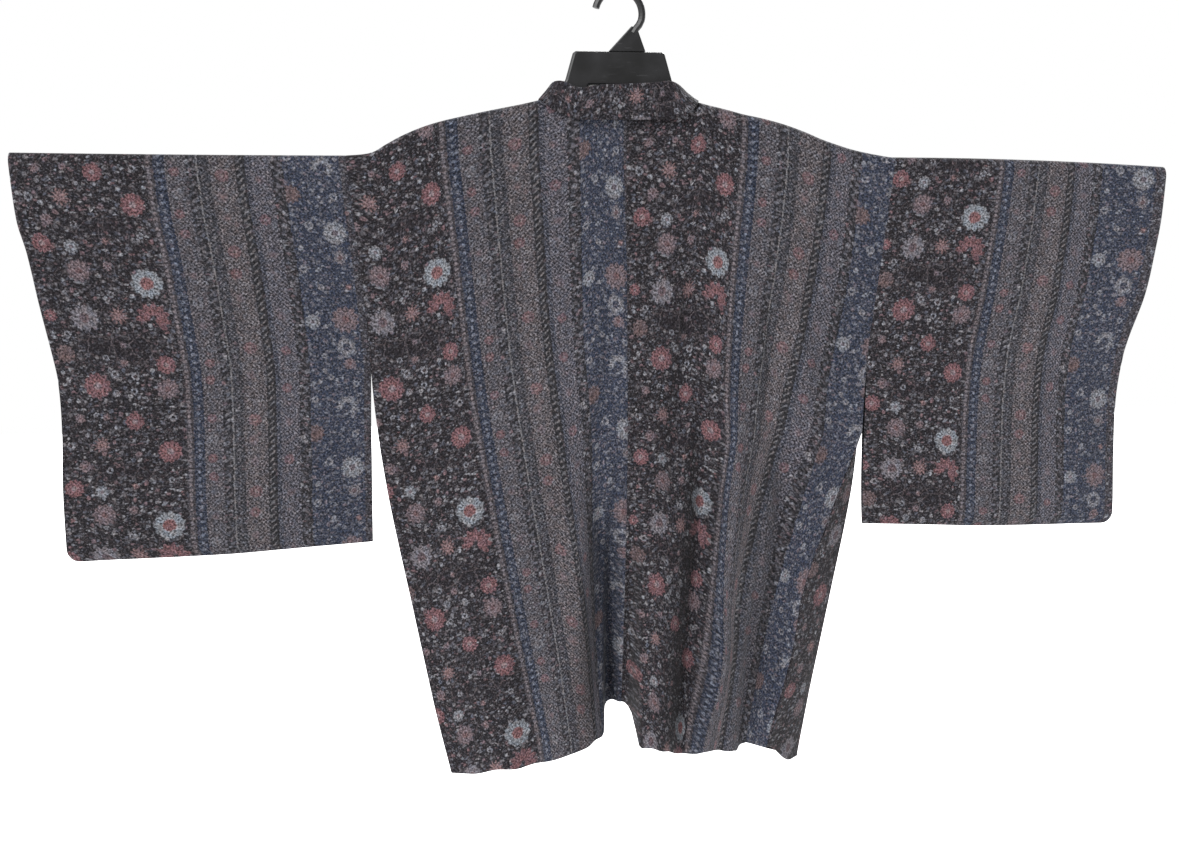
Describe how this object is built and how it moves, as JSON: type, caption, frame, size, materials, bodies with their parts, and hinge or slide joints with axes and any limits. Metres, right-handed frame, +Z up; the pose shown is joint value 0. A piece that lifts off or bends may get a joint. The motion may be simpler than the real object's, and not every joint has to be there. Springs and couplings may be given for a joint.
{
  "type": "haori jacket on a hanger",
  "caption": "Open-fronted haori jacket with wide bag sleeves and a folded collar strip, hanging from a moulded hanger whose hook goes over a rail.",
  "frame": {"origin": "where a rail touches the inside of the hook's top", "axes": "+Z up, -Y the way the jacket's back faces, +X to the right as seen from behind the jacket"},
  "size_m": [1.353, 0.0888, 0.9531],
  "materials": {
    "printed_cloth": "matt crepe, printed in bands of small flowers",
    "hanger_plastic": "satin moulded black plastic"
  },
  "bodies": {
    "root": {"body_left": "printed_cloth", "body_right": "printed_cloth", "sleeve_left": "printed_cloth", "sleeve_right": "printed_cloth", "collar": "printed_cloth", "gusset_left": "printed_cloth", "gusset_right": "printed_cloth", "hanger": "hanger_plastic", "hanger_hook": "hanger_plastic"}
  },
  "joints": []
}
